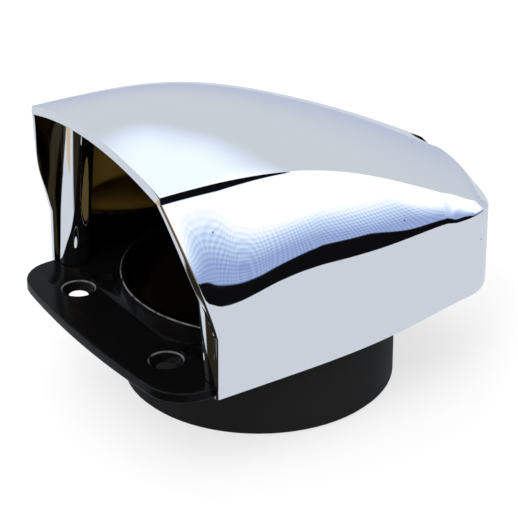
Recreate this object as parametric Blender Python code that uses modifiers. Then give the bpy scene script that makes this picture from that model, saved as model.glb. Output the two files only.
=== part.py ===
"""A low-profile cowl vent: a chrome-plated cast hood over a moulded black base with a hose collar.

The mouth looks along -Y, the rear is +Y and the part stands on its hose collar at Z = 0.
Lengths are in metres. Heights count up from the collar's lower rim and places along Y from the
collar's axis. The empty that carries every piece centres the part on the world's origin.
"""

from math import asin, cos, pi, radians, sin, sqrt, tan

import bmesh
import bpy
import numpy as np
from mathutils import Matrix, Vector
from mathutils.geometry import interpolate_bezier
from numpy.polynomial import Polynomial

# Hose collar and the water dam above it
COLLAR_DIAMETER = 0.0762
COLLAR_WALL = 0.0025
COLLAR_LENGTH = 0.0240
COLLAR_LEAD_IN = 0.0010
DAM_HEIGHT = 0.0050
DAM_FOOT_STEP = 0.0010
DAM_DRAFT = 0.0005
DAM_LIP_WIDTH = 0.0020
DAM_TOP_CHAMFER = 0.0003

# Flange of the moulded base
FLANGE_THICKNESS = 0.0030
FLANGE_FRONT_REACH = 0.0567
FLANGE_FRONT_RADIUS = 0.2800
FLANGE_CORNER_RADIUS = 0.0110
FLANGE_EDGE_ROUND = 0.0004
FLANGE_RIM_WIDTH = 0.0030
FLANGE_POCKET_DEPTH = 0.0008

# Deck screw holes and raised locating rings in the base
DECK_SCREW_HALF_SPACING = 0.0238
DECK_SCREW_REACH = 0.0442
DECK_SCREW_HOLE = 0.0055
DECK_SCREW_HEAD = 0.0098
DECK_SCREW_ANGLE = radians(90)
RING_HALF_SPACING = 0.0244
RING_REACH = 0.0359
RING_DIAMETER = 0.0069
RING_WALL = 0.0006
RING_HEIGHT = 0.0005
RING_RECESS = 0.0009

# Cast hood
HOOD_WALL = 0.0018
LIP_THICKNESS = 0.0026
LIP_FADE = 0.0150
LIP_BOW = 0.0009
LEG_REACH = 0.0413
LEG_HEIGHT = 0.0180
MOUTH_LEAN = 0.267
MOUTH_FLARE = 0.0005
FLARE_REACH = 0.0070
LEG_FLARE_GAP = 0.0040
FLARE_RISE = 0.0130
FLARE_FALL = 0.0180
SKIRT_HEIGHT = 0.0225
SKIRT_BLEND = 0.0180
MOUTH_CHEEK_LEAN = 0.44
SIDE_CHEEK_LEAN = 0.55
CHEEK_BLEND = 0.0300
STEP_HEIGHT = 0.0016
STEP_WIDTH = 0.00025
STEP_END_REACH = 0.0080
SHOULDER_WIDTH = 0.0040
REAR_REACH = 0.0650
REAR_BAND = 0.0075
RIM_ROUND = 0.0004

# Half widths and heights of the hood at its stations, from the mouth to the rear
FRONT_STATIONS = (-0.0530, -0.0350, -0.0180, 0)
REAR_STATIONS = tuple(REAR_REACH * share for share in (0.23, 0.46, 0.65, 0.80, 1))
STATIONS = FRONT_STATIONS + REAR_STATIONS
SPINE_HEIGHT = (0.0853, 0.0882, 0.0874, 0.0826, 0.0770, 0.0704, 0.0644, 0.0590, 0.0523)
CREASE_HEIGHT = (0.0803, 0.0800, 0.0784, 0.0747, 0.0691, 0.0620, 0.0560, 0.0509, 0.0441)
CREASE_HALF_WIDTH = (0.0342, 0.0339, 0.0337, 0.0336, 0.0335, 0.0332, 0.0326, 0.0320, 0.0315)
SKIRT_HALF_WIDTH = (0.0450, 0.0447, 0.0443, 0.0433, 0.0416, 0.0385, 0.0357)

# Rear corner of the hood in plan, a curve from its side round to the rear centre
REAR_CORNER_DEPTH = 0.0200
REAR_CORNER_HANDLE = 0.0027
REAR_BOW_INSET = 0.00035

# Posts, rear boss and the screws that hold the hood to the base
POST_HALF_SPACING = 0.0393
POST_SETBACK = 0.0044
POST_DIAMETER = 0.0084
POST_TOP_DIAMETER = 0.0096
POST_LEAN = radians(7)
REAR_SCREW_INSET = 0.0080
REAR_SCREW_HOLE = 0.0050
REAR_BOSS_DIAMETER = 0.0130
REAR_COUNTERBORE = 0.0090
REAR_COUNTERBORE_DEPTH = 0.0058
HOOD_SCREW_INSET = 0.0009
HOOD_SCREW_DIAMETER = 0.0035
HOOD_SCREW_HEAD = 0.0069
HOOD_SCREW_ANGLE = radians(82)
HOOD_SCREW_LENGTH = 0.0120
HOOD_SCREW_TIP = 0.0006
HOOD_SCREW_OVERRUN = 0.0015
HOOD_SCREW_PAD = 0.0104
DRIVE_LENGTH = 0.0036
DRIVE_WIDTH = 0.0008
DRIVE_DEPTH = 0.0012

GAP = 0.0003
OVERCUT = 0.0020
WELD = 0.00001

# How finely the surfaces are divided
SKIRT_ROWS = 2
CHEEK_ROWS = 8
SHOULDER_ROWS = 2
DOME_ROWS = 8
SIDE_COLUMNS = 22
FAN_COLUMNS = 12
FAN_START_DEPTH = 0.0270
FAN_END_DEPTH = 0.0160
MOUTH_CROWDING = 1.15
MOUTH_SEARCH_ROUNDS = 6
LIP_START_ROWS = 3
SIDE_POINTS = 40
REAR_POINTS = 32
TURN_STEPS = 72
HOLE_STEPS = 24
ARC_STEPS = 8

CREASE_ROW = SKIRT_ROWS + CHEEK_ROWS
DOME_ROW = CREASE_ROW + 1 + SHOULDER_ROWS
SPINE_ROW = DOME_ROW + DOME_ROWS
REAR_COLUMN = SIDE_COLUMNS + FAN_COLUMNS

DECK_Z = COLLAR_LENGTH
FLANGE_TOP = DECK_Z + FLANGE_THICKNESS
LEG_TOP = DECK_Z + LEG_HEIGHT
ROOF_TOP = max(SPINE_HEIGHT)
COLLAR_RADIUS = COLLAR_DIAMETER / 2
DAM_RADIUS = COLLAR_RADIUS + DAM_FOOT_STEP - DAM_DRAFT
BORE_RADIUS = COLLAR_RADIUS - COLLAR_WALL
POST_REACH = LEG_REACH - POST_SETBACK
HOOD_SCREW_SPACING = POST_HALF_SPACING - HOOD_SCREW_INSET
REAR_SCREW_REACH = REAR_REACH - REAR_SCREW_INSET
REAR_CORNER_START = REAR_REACH - REAR_CORNER_DEPTH
FAN_START_Y = REAR_REACH - FAN_START_DEPTH
FAN_END_Y = REAR_REACH - FAN_END_DEPTH
PART_CENTRE_Y = (REAR_REACH - FLANGE_FRONT_REACH) / 2

spine_height = Polynomial.fit(STATIONS, SPINE_HEIGHT, 6)
crease_height = Polynomial.fit(STATIONS, CREASE_HEIGHT, 6)
crease_half_width = Polynomial.fit(STATIONS, CREASE_HALF_WIDTH, 5)
side_half_width = Polynomial.fit(STATIONS[: len(SKIRT_HALF_WIDTH)], SKIRT_HALF_WIDTH, 5)


def ease(share):
    share = min(max(share, 0), 1)
    return share * share * (3 - 2 * share)


def hood_outline():
    """Points round the right half of the hood in plan, from the mouth to the rear centre."""
    side = np.linspace(STATIONS[0], REAR_CORNER_START, SIDE_POINTS)
    points = [Vector((side_half_width(y), y)) for y in side]
    start = points.pop()
    along = Vector((side_half_width.deriv()(REAR_CORNER_START), 1)).normalized()
    corner = start + along * REAR_CORNER_HANDLE
    bow = Vector((start.x - REAR_BOW_INSET, REAR_REACH))
    points += interpolate_bezier(start, corner, bow, Vector((0, REAR_REACH)), REAR_POINTS)
    return np.array(points)


OUTLINE = hood_outline()
OUTLINE_LENGTH = np.concatenate([[0], np.cumsum(np.hypot(*np.diff(OUTLINE, axis=0).T))])


def half_width(y):
    return float(np.interp(y, OUTLINE[:, 1], OUTLINE[:, 0]))


def rear_outline(share):
    """The point this share of the way along the outline from FAN_START_Y to the rear centre."""
    start = np.interp(FAN_START_Y, OUTLINE[:, 1], OUTLINE_LENGTH)
    place = start + (OUTLINE_LENGTH[-1] - start) * share
    return Vector((np.interp(place, OUTLINE_LENGTH, OUTLINE[:, axis]) for axis in (0, 1)))


def dome_height(plan):
    edge = crease_height(plan.y)
    return edge + (spine_height(plan.y) - edge) * (1 - (plan.x / crease_half_width(plan.y)) ** 2)


def step_height(y):
    """The low step between dome and cheek, tallest at the mouth."""
    share = (-STEP_END_REACH - y) / (FLANGE_FRONT_REACH - STEP_END_REACH)
    return STEP_HEIGHT * min(max(share, 0), 1)


def skirt_top(y):
    """Where the upright skirt ends and the cheek starts to curve in."""
    return LEG_TOP + (DECK_Z + SKIRT_HEIGHT - LEG_TOP) * ease((y + LEG_REACH) / SKIRT_BLEND)


def cheek_knee(crease, inward, band, top, rear_share):
    """Height of the control point that shapes the cheek between the skirt and the crease."""
    back = ease((crease.y + LEG_REACH) / CHEEK_BLEND)
    lean = MOUTH_CHEEK_LEAN + (SIDE_CHEEK_LEAN - MOUTH_CHEEK_LEAN) * back
    crisp = top - band / lean
    dome_rise = dome_height(crease + inward * band) - dome_height(crease)
    return crisp + (top - dome_rise - crisp) * rear_share


def section_point(outer, spine, band, rear_share, row, stepped):
    """A point of one hood section. Rows climb from the deck over skirt, cheek and dome to the spine."""
    inward = (spine - outer).normalized()
    crease = outer + inward * band
    if row <= SKIRT_ROWS:
        return Vector((*outer, DECK_Z + (skirt_top(outer.y) - DECK_Z) * row / SKIRT_ROWS))
    step = step_height(crease.y) if stepped else 0
    if row <= CREASE_ROW:
        top = dome_height(crease) - step
        knee = cheek_knee(crease, inward, band, top, rear_share)
        share = (row - SKIRT_ROWS) / CHEEK_ROWS
        height = (1 - share) ** 2 * skirt_top(outer.y) + 2 * share * (1 - share) * knee + share**2 * top
        return Vector((*(outer + inward * band * share**2), height))
    shoulder_end = band + STEP_WIDTH + SHOULDER_WIDTH
    if row > DOME_ROW:
        share = (row - DOME_ROW) / DOME_ROWS
        plan = outer + inward * (shoulder_end + ((spine - outer).length - shoulder_end) * share)
        return Vector((*plan, dome_height(plan)))
    share = (row - CREASE_ROW - 1) / SHOULDER_ROWS
    start = band + STEP_WIDTH
    if not stepped:
        share = (row - CREASE_ROW) / (SHOULDER_ROWS + 1)
        start = band
    plan = outer + inward * (start + (shoulder_end - start) * share)
    return Vector((*plan, dome_height(plan) - step / 2 * (1 - share) ** 2))


def side_point(y, row, stepped):
    outer = Vector((half_width(y), y))
    return section_point(outer, Vector((0, y)), outer.x - crease_half_width(y), 0, row, stepped)


def mouth_y(row, stepped):
    """Where this row ends: on the upright legs, the plane that leans forward or the bowed roof lip."""
    y = -LEG_REACH
    for _ in range(MOUTH_SEARCH_ROUNDS):
        rise = side_point(y, min(row, CREASE_ROW), stepped).z - LEG_TOP
        y = -LEG_REACH - MOUTH_LEAN * max(rise, 0)
    if row > CREASE_ROW:
        y -= LIP_BOW * (1 - (side_point(y, row, stepped).x / crease_half_width(y)) ** 2)
    return y


def mouth_flare(height, depth):
    """How far the cheek's edge turns out at this height and depth behind the mouth's rim."""
    start = LEG_TOP + LEG_FLARE_GAP
    rise = ease((height - start) / FLARE_RISE) * ease((start + FLARE_RISE + FLARE_FALL - height) / FLARE_FALL)
    return MOUTH_FLARE * rise * max(1 - depth / FLARE_REACH, 0) ** 3


def hood_point(row, column, stepped):
    if column <= SIDE_COLUMNS:
        front = mouth_y(row, stepped)
        depth = (FAN_START_Y - front) * (column / SIDE_COLUMNS) ** MOUTH_CROWDING
        point = side_point(front + depth, row, stepped)
        point.x += mouth_flare(point.z, depth) if row <= CREASE_ROW else 0
        return point
    share = (column - SIDE_COLUMNS) / FAN_COLUMNS
    side_band = half_width(FAN_START_Y) - crease_half_width(FAN_START_Y)
    band = side_band + (REAR_BAND - side_band) * ease(share)
    spine = Vector((0, FAN_START_Y + (FAN_END_Y - FAN_START_Y) * share))
    return section_point(rear_outline(share), spine, band, ease(2 * share), row, stepped)


def wall_thickness(row, column):
    """The wall thickens to a lip round the mouth, except on the upright legs."""
    point = hood_point(row, column, stepped=False)
    front = mouth_y(row, stepped=False)
    lip = ease((row - SKIRT_ROWS) / LIP_START_ROWS) * (1 - ease((point.y - front) / LIP_FADE))
    return HOOD_WALL + (LIP_THICKNESS - HOOD_WALL) * lip


def clear_scene():
    for old in list(bpy.data.objects):
        bpy.data.objects.remove(old)


def add_collection(name):
    collection = bpy.data.collections.new(name)
    bpy.context.scene.collection.children.link(collection)
    return collection


clear_scene()
PART = add_collection("cowl_vent")
TOOLS = add_collection("construction")
CENTRE = bpy.data.objects.new("part_centre", None)
CENTRE.location = (0, -PART_CENTRE_Y, 0)
PART.objects.link(CENTRE)


def add_object(name, bm, collection):
    mesh = bpy.data.meshes.new(name)
    bm.to_mesh(mesh)
    bm.free()
    mesh.shade_smooth()
    mesh.set_sharp_from_angle(angle=radians(40))
    obj = bpy.data.objects.new(name, mesh)
    obj.parent = CENTRE
    collection.objects.link(obj)
    if collection == TOOLS:
        obj.hide_render = True
        obj.display_type = "WIRE"
    return obj


def set_material(obj, name, colour, roughness, metallic):
    made = bpy.data.materials.new(name)
    made.use_nodes = True
    shader = made.node_tree.nodes["Principled BSDF"]
    shader.inputs["Base Color"].default_value = (*colour, 1)
    shader.inputs["Roughness"].default_value = roughness
    shader.inputs["Metallic"].default_value = metallic
    obj.data.materials.append(made)


def boolean(obj, operation, *others):
    """Joins, cuts or trims the object with all the others at once."""
    group = bpy.data.collections.new(f"{obj.name} {operation.lower()}")
    TOOLS.children.link(group)
    for other in others:
        group.objects.link(other)
    change = obj.modifiers.new(operation.lower(), "BOOLEAN")
    change.operation = operation
    change.solver = "EXACT"
    change.operand_type = "COLLECTION"
    change.collection = group


def mirror(obj):
    both = obj.modifiers.new("both sides", "MIRROR")
    both.mirror_object = CENTRE
    both.merge_threshold = WELD


def round_edges(obj, radius, segments=2):
    bevel = obj.modifiers.new("rounded edges", "BEVEL")
    bevel.width = radius
    bevel.segments = segments
    bevel.limit_method = "ANGLE"
    bevel.angle_limit = radians(60)
    bevel.use_clamp_overlap = False


def turned(name, profile, collection=TOOLS, steps=TURN_STEPS):
    """A solid turned about Z from (radius, height) points, which run down its outer side."""
    bm = bmesh.new()
    half_step = Matrix.Rotation(pi / steps, 4, "Z")
    points = [bm.verts.new(half_step @ Vector((radius, 0, height))) for radius, height in profile]
    for start, end in zip(points, points[1:]):
        bm.edges.new((start, end))
    obj = add_object(name, bm, collection)
    turn = obj.modifiers.new("turn", "SCREW")
    turn.steps = steps
    turn.render_steps = steps
    turn.use_merge_vertices = True
    turn.merge_threshold = WELD
    turn.use_smooth_shade = True
    return obj


def cylinder(name, diameter, bottom, top, top_diameter=None):
    """A cylinder on the Z axis. Like every turned piece, it has no corner on the centre plane."""
    bm = bmesh.new()
    half_step = Matrix.Rotation(pi / HOLE_STEPS, 4, "Z")
    bmesh.ops.create_cone(
        bm,
        cap_ends=True,
        segments=HOLE_STEPS,
        radius1=diameter / 2,
        radius2=(top_diameter or diameter) / 2,
        depth=top - bottom,
        matrix=Matrix.Translation((0, 0, (top + bottom) / 2)) @ half_step,
    )
    return add_object(name, bm, TOOLS)


def place_both_sides(obj, x, y):
    obj.location = (x, y, 0)
    mirror(obj)


def plate(name, outline, bottom, top, collection=TOOLS):
    """A flat plate with this outline, made as a filled 2D curve and turned into a mesh."""
    curve = bpy.data.curves.new(name, "CURVE")
    curve.dimensions = "2D"
    curve.fill_mode = "BOTH"
    curve.extrude = (top - bottom) / 2
    spline = curve.splines.new("POLY")
    spline.points.add(len(outline) - 1)
    for point, place in zip(spline.points, outline):
        point.co = (*place, 0, 1)
    spline.use_cyclic_u = True
    flat = bpy.data.objects.new(name, curve)
    TOOLS.objects.link(flat)
    graph = bpy.context.evaluated_depsgraph_get()
    mesh = bpy.data.meshes.new_from_object(flat.evaluated_get(graph))
    bpy.data.objects.remove(flat)
    bm = bmesh.new()
    bm.from_mesh(mesh)
    bmesh.ops.remove_doubles(bm, verts=bm.verts, dist=WELD)
    bmesh.ops.translate(bm, verts=bm.verts, vec=(0, 0, (top + bottom) / 2))
    return add_object(name, bm, collection)


def flange_outline(inset=0):
    """The flange seen from above: a bowed front, round corners, then the inside of the hood."""
    side = GAP + HOOD_WALL + inset
    slope = np.gradient(OUTLINE, axis=0)
    slope /= np.hypot(*slope.T)[:, None]
    edge = OUTLINE + np.stack([-slope[:, 1], slope[:, 0]], axis=1) * side
    corner_radius = FLANGE_CORNER_RADIUS - inset
    bow_radius = FLANGE_FRONT_RADIUS - inset
    bow_centre_y = FLANGE_FRONT_RADIUS - FLANGE_FRONT_REACH
    corner_x = half_width(-LEG_REACH) - side - corner_radius
    corner_y = bow_centre_y - sqrt((bow_radius - corner_radius) ** 2 - corner_x**2)
    bow_angle = asin(corner_x / (bow_radius - corner_radius))
    half = []
    for turn in np.linspace(0, bow_angle, ARC_STEPS):
        half.append((bow_radius * sin(turn), bow_centre_y - bow_radius * cos(turn)))
    for turn in np.linspace(bow_angle, pi / 2, ARC_STEPS)[1:]:
        half.append((corner_x + corner_radius * sin(turn), corner_y - corner_radius * cos(turn)))
    half += [(x, y) for x, y in edge[::2] if y > corner_y + inset and x > inset]
    rear_y = REAR_REACH - side
    half.append((0, rear_y))
    return half + [(-x, y) for x, y in half[-2:0:-1]]


def countersunk_cutter(name, hole, head, angle, face, end):
    """A screw hole from its end to the face that the countersink opens on, above it or below it."""
    out = OVERCUT if face > end else -OVERCUT
    cone = (head - hole) / 2 / tan(angle / 2)
    seat = face - cone if face > end else face + cone
    heights = (face + out, face + out, face, seat, end, end)
    profile = list(zip((0, head / 2, head / 2, hole / 2, hole / 2, 0), heights))
    return turned(name, profile if face > end else profile[::-1], steps=HOLE_STEPS)


def add_skin(bm, stepped, sink):
    """A grid over the right half of the hood, this far below its surface, by (row, column)."""
    made = bmesh.ops.create_grid(bm, x_segments=SPINE_ROW, y_segments=REAR_COLUMN, size=1)["verts"]
    grid = {}
    for vertex in made:
        row = round((vertex.co.x + 1) / 2 * SPINE_ROW)
        column = round((vertex.co.y + 1) / 2 * REAR_COLUMN)
        grid[row, column] = vertex
        vertex.co = hood_point(row, column, stepped)
    bm.normal_update()
    inward = {place: vertex.normal.copy() for place, vertex in grid.items()}
    for place, vertex in grid.items():
        vertex.co += inward[place] * sink(*place)
        if place[0] == SPINE_ROW or place[1] == REAR_COLUMN:
            vertex.co.x = 0
    return grid


def skin_rim():
    """The grid's free border, from the spine down the mouth and along the skirt to the rear."""
    mouth = [(row, 0) for row in range(SPINE_ROW, 0, -1)]
    return mouth + [(0, column) for column in range(REAR_COLUMN + 1)]


def build_hood():
    bm = bmesh.new()
    outer = add_skin(bm, stepped=True, sink=lambda row, column: 0)
    bmesh.ops.reverse_faces(bm, faces=bm.faces)
    inner = add_skin(bm, stepped=False, sink=wall_thickness)
    rim = skin_rim()
    for place, after in zip(rim, rim[1:]):
        bm.faces.new((outer[place], outer[after], inner[after], inner[place]))
    bmesh.ops.recalc_face_normals(bm, faces=bm.faces)
    hood = add_object("cast_hood", bm, PART)
    mirror(hood)
    round_edges(hood, RIM_ROUND)
    set_material(hood, "chrome_plate", (0.80, 0.81, 0.83), 0.06, 1.0)
    return hood


def build_hood_core():
    """A solid out to the middle of the hood's wall, which trims the posts and the rear boss."""
    bm = bmesh.new()
    grid = add_skin(bm, stepped=False, sink=lambda row, column: HOOD_WALL / 2)
    rim = [grid[place] for place in skin_rim()]
    edges = [bm.edges.get((start, end)) for start, end in zip(rim, rim[1:])]
    made = bmesh.ops.extrude_edge_only(bm, edges=edges)["geom"]
    for vertex in made:
        if isinstance(vertex, bmesh.types.BMVert):
            vertex.co.x = 0
    bmesh.ops.remove_doubles(bm, verts=bm.verts, dist=WELD)
    bmesh.ops.recalc_face_normals(bm, faces=bm.faces)
    core = add_object("hood_core", bm, TOOLS)
    mirror(core)
    return core


def build_posts(core):
    """Two posts inside the mouth that lean in with the cheeks and carry the hood screws."""
    foot = FLANGE_TOP + GAP
    posts = cylinder("posts", POST_DIAMETER, foot, ROOF_TOP, POST_TOP_DIAMETER)
    posts.data.transform(Matrix.Translation((tan(POST_LEAN) * foot, 0, 0)) @ lean_matrix(POST_LEAN))
    place_both_sides(posts, POST_HALF_SPACING, -POST_REACH)
    boolean(posts, "INTERSECT", core)
    return posts


def build_post_holes():
    top = DECK_Z + HOOD_SCREW_LENGTH + HOOD_SCREW_OVERRUN
    holes = cylinder("post_holes", HOOD_SCREW_DIAMETER + 2 * GAP, FLANGE_TOP + GAP - OVERCUT, top)
    place_both_sides(holes, HOOD_SCREW_SPACING, -POST_REACH)
    return holes


def lean_matrix(angle):
    """Leans a shape toward -X as it rises."""
    matrix = Matrix.Identity(4)
    matrix[0][2] = -tan(angle)
    return matrix


def build_rear_boss(core):
    boss = cylinder("rear_boss", REAR_BOSS_DIAMETER, FLANGE_TOP + GAP, ROOF_TOP)
    boss.location.y = REAR_SCREW_REACH
    boolean(boss, "INTERSECT", core)
    return boss


def build_rear_screw_hole():
    """The counterbored hole for the rear deck screw."""
    seat = spine_height(REAR_SCREW_REACH) - REAR_COUNTERBORE_DEPTH
    profile = [
        (0, ROOF_TOP),
        (REAR_COUNTERBORE / 2, ROOF_TOP),
        (REAR_COUNTERBORE / 2, seat),
        (REAR_SCREW_HOLE / 2, seat),
        (REAR_SCREW_HOLE / 2, DECK_Z - OVERCUT),
        (0, DECK_Z - OVERCUT),
    ]
    hole = turned("rear_screw_hole", profile, steps=HOLE_STEPS)
    hole.location.y = REAR_SCREW_REACH
    return hole


def build_base():
    base = plate("moulded_base", flange_outline(), DECK_Z, FLANGE_TOP, PART)
    round_edges(base, FLANGE_EDGE_ROUND)
    boolean(base, "DIFFERENCE", build_pocket())
    rings = cylinder("rings", RING_DIAMETER, FLANGE_TOP - GAP, FLANGE_TOP + RING_HEIGHT)
    place_both_sides(rings, RING_HALF_SPACING, -RING_REACH)
    boolean(base, "UNION", build_collar(), rings)
    boolean(base, "DIFFERENCE", build_bore(), *build_screw_holes(), build_ring_recesses())
    set_material(base, "black_moulding", (0.020, 0.021, 0.023), 0.38, 0.0)


def build_pocket():
    """The shallow recess under the flange leaves a rim and full-thickness pads at the screws."""
    pocket_top = DECK_Z + FLANGE_POCKET_DEPTH
    pocket = plate("pocket", flange_outline(FLANGE_RIM_WIDTH), DECK_Z - OVERCUT, pocket_top)
    pads = cylinder("hood_screw_pads", HOOD_SCREW_PAD, DECK_Z - 2 * OVERCUT, pocket_top + OVERCUT)
    place_both_sides(pads, HOOD_SCREW_SPACING, -POST_REACH)
    pad = cylinder("rear_screw_pad", REAR_BOSS_DIAMETER, DECK_Z - 2 * OVERCUT, pocket_top + OVERCUT)
    pad.location.y = REAR_SCREW_REACH
    boolean(pocket, "DIFFERENCE", pads, pad)
    return pocket


def build_collar():
    """The hose collar below the flange and the dam ring above it, as one plug."""
    joint = FLANGE_TOP - (FLANGE_THICKNESS - FLANGE_POCKET_DEPTH) / 2
    dam_top = FLANGE_TOP + DAM_HEIGHT
    foot_radius = DAM_RADIUS + DAM_DRAFT
    profile = [
        (0, dam_top),
        (DAM_RADIUS - DAM_TOP_CHAMFER, dam_top),
        (DAM_RADIUS, dam_top - DAM_TOP_CHAMFER),
        (foot_radius, FLANGE_TOP),
        (foot_radius, joint),
        (COLLAR_RADIUS, joint),
        (COLLAR_RADIUS, COLLAR_LEAD_IN),
        (COLLAR_RADIUS - COLLAR_LEAD_IN, 0),
        (0, 0),
    ]
    return turned("collar_and_dam", profile)


def build_bore():
    """The air way through the collar, a little wider inside the dam."""
    dam_bore = DAM_RADIUS - DAM_LIP_WIDTH
    above = FLANGE_TOP + DAM_HEIGHT + OVERCUT
    profile = [
        (0, above),
        (dam_bore, above),
        (dam_bore, FLANGE_TOP),
        (BORE_RADIUS, FLANGE_TOP),
        (BORE_RADIUS, -OVERCUT),
        (0, -OVERCUT),
    ]
    return turned("bore", profile)


def build_screw_holes():
    deck_holes = countersunk_cutter(
        "deck_screw_holes", DECK_SCREW_HOLE, DECK_SCREW_HEAD, DECK_SCREW_ANGLE, FLANGE_TOP, DECK_Z - OVERCUT
    )
    place_both_sides(deck_holes, DECK_SCREW_HALF_SPACING, -DECK_SCREW_REACH)
    hood_holes = countersunk_cutter(
        "hood_screw_holes",
        HOOD_SCREW_DIAMETER + 2 * GAP,
        HOOD_SCREW_HEAD + 2 * GAP,
        HOOD_SCREW_ANGLE,
        DECK_Z,
        FLANGE_TOP + OVERCUT,
    )
    place_both_sides(hood_holes, HOOD_SCREW_SPACING, -POST_REACH)
    rear_hole = cylinder("rear_deck_hole", REAR_SCREW_HOLE, DECK_Z - OVERCUT, FLANGE_TOP + OVERCUT)
    rear_hole.location.y = REAR_SCREW_REACH
    return deck_holes, hood_holes, rear_hole


def build_ring_recesses():
    """The shallow recess inside each of the two small raised rings."""
    recess_floor = FLANGE_TOP + RING_HEIGHT - RING_RECESS
    recesses = cylinder("ring_recesses", RING_DIAMETER - 2 * RING_WALL, recess_floor, FLANGE_TOP + OVERCUT)
    place_both_sides(recesses, RING_HALF_SPACING, -RING_REACH)
    return recesses


def build_hood_screw(name, x):
    """A flat-head screw, driven up through the flange, with a cross recess in its head."""
    radius = HOOD_SCREW_DIAMETER / 2
    tip = DECK_Z + HOOD_SCREW_LENGTH
    cone = (HOOD_SCREW_HEAD - HOOD_SCREW_DIAMETER) / 2 / tan(HOOD_SCREW_ANGLE / 2)
    profile = [
        (0, tip),
        (radius - HOOD_SCREW_TIP, tip),
        (radius, tip - HOOD_SCREW_TIP),
        (radius, DECK_Z + cone),
        (HOOD_SCREW_HEAD / 2, DECK_Z),
        (0, DECK_Z),
    ]
    screw = turned(name, profile, PART, HOLE_STEPS)
    for slot, size in enumerate(((DRIVE_LENGTH, DRIVE_WIDTH), (DRIVE_WIDTH, DRIVE_LENGTH))):
        bm = bmesh.new()
        bmesh.ops.create_cube(bm, size=1)
        bmesh.ops.scale(bm, verts=bm.verts, vec=(*size, 2 * DRIVE_DEPTH))
        bmesh.ops.translate(bm, verts=bm.verts, vec=(0, 0, DECK_Z))
        drive = add_object(f"{name}_drive_{slot}", bm, TOOLS)
        drive.location = (x, -POST_REACH, 0)
        boolean(screw, "DIFFERENCE", drive)
    screw.location = (x, -POST_REACH, 0)
    set_material(screw, f"{name}_steel", (0.56, 0.56, 0.55), 0.30, 1.0)


def main():
    hood = build_hood()
    core = build_hood_core()
    boolean(hood, "UNION", build_posts(core), build_rear_boss(core))
    boolean(hood, "DIFFERENCE", build_post_holes(), build_rear_screw_hole())
    build_base()
    build_hood_screw("hood_screw_left", HOOD_SCREW_SPACING)
    build_hood_screw("hood_screw_right", -HOOD_SCREW_SPACING)


main()
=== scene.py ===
"""Looks of the cowl vent: a chrome-plated cast hood over a satin black moulded base.

The hood follows its solid's sizes, with finer divisions because mirror plating shows every facet, and
with a taller step and a narrower band round the rear. Heights count up from the hose collar's lower rim.
Places along Y count from the collar's axis in the hood, and from the part's centre in the finishes.
"""

from functools import lru_cache
from math import pi, radians, tan

import bpy
import numpy as np
from mathutils import Matrix, Vector
from mathutils.geometry import interpolate_bezier
from numpy.polynomial import Polynomial


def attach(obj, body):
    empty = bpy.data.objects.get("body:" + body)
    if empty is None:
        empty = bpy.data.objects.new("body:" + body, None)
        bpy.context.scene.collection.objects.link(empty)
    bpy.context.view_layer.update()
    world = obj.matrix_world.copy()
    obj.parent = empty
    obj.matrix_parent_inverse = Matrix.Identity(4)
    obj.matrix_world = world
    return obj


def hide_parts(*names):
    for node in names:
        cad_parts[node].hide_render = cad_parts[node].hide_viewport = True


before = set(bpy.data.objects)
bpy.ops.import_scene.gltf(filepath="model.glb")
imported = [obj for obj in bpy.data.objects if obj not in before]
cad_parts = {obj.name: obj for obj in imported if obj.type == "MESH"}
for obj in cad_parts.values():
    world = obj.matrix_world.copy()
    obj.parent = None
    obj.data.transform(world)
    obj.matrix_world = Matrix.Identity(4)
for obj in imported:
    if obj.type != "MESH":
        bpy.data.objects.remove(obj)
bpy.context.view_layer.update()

# Camera, as the photograph was taken
CAMERA_PLACE = (0.4998, -0.3252, 0.3430)
CAMERA_AZIMUTH = radians(57.272)
CAMERA_ELEVATION = radians(27.474)
CAMERA_LENS = 167.3
CAMERA_CLIP_START = 0.01

# Base and collar
PART_CENTRE_Y = 0.00415
DECK_Z = 0.0240
FLANGE_TOP = 0.0270

# Cast hood
HOOD_WALL = 0.0018
LIP_THICKNESS = 0.0026
LIP_FADE = 0.0150
LIP_BOW = 0.0009
LEG_REACH = 0.0413
LEG_TOP = 0.0420
MOUTH_LEAN = 0.267
MOUTH_FLARE = 0.0007
FLARE_REACH = 0.0070
FLARE_START = 0.0460
FLARE_RISE = 0.0130
FLARE_FALL = 0.0180
SKIRT_TOP = 0.0465
SKIRT_BLEND = 0.0180
MOUTH_CHEEK_LEAN = 0.44
SIDE_CHEEK_LEAN = 0.55
CHEEK_BLEND = 0.0300
STEP_HEIGHT = 0.0021
STEP_LEAN = 0.23
STEP_LEAST_WIDTH = 0.00012
STEP_SHOULDER_SHARE = 0.12
STEP_START_REACH = 0.0340
STEP_END_REACH = 0.0080
SHOULDER_WIDTH = 0.0040
REAR_REACH = 0.0650
REAR_BAND = 0.0020
INSIDE_REAR_BAND = 0.0075
INSIDE_REAR_KNEE = 0.5
KNEE_EVEN_SHARE = 0.5
CORNER_SHARE = 0.3
REAR_FALL_REACH = 0.0075
REAR_FALL_START = 0.25
REAR_SETTLE_SHARE = 0.25
REAR_EDGE_HEIGHT = 0.0470
REAR_SKIRT_RISE = 0.0020
KNEE_CLEARANCE = 0.0004
GAP = 0.0003
OVERCUT = 0.0020
WELD = 0.00001

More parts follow.
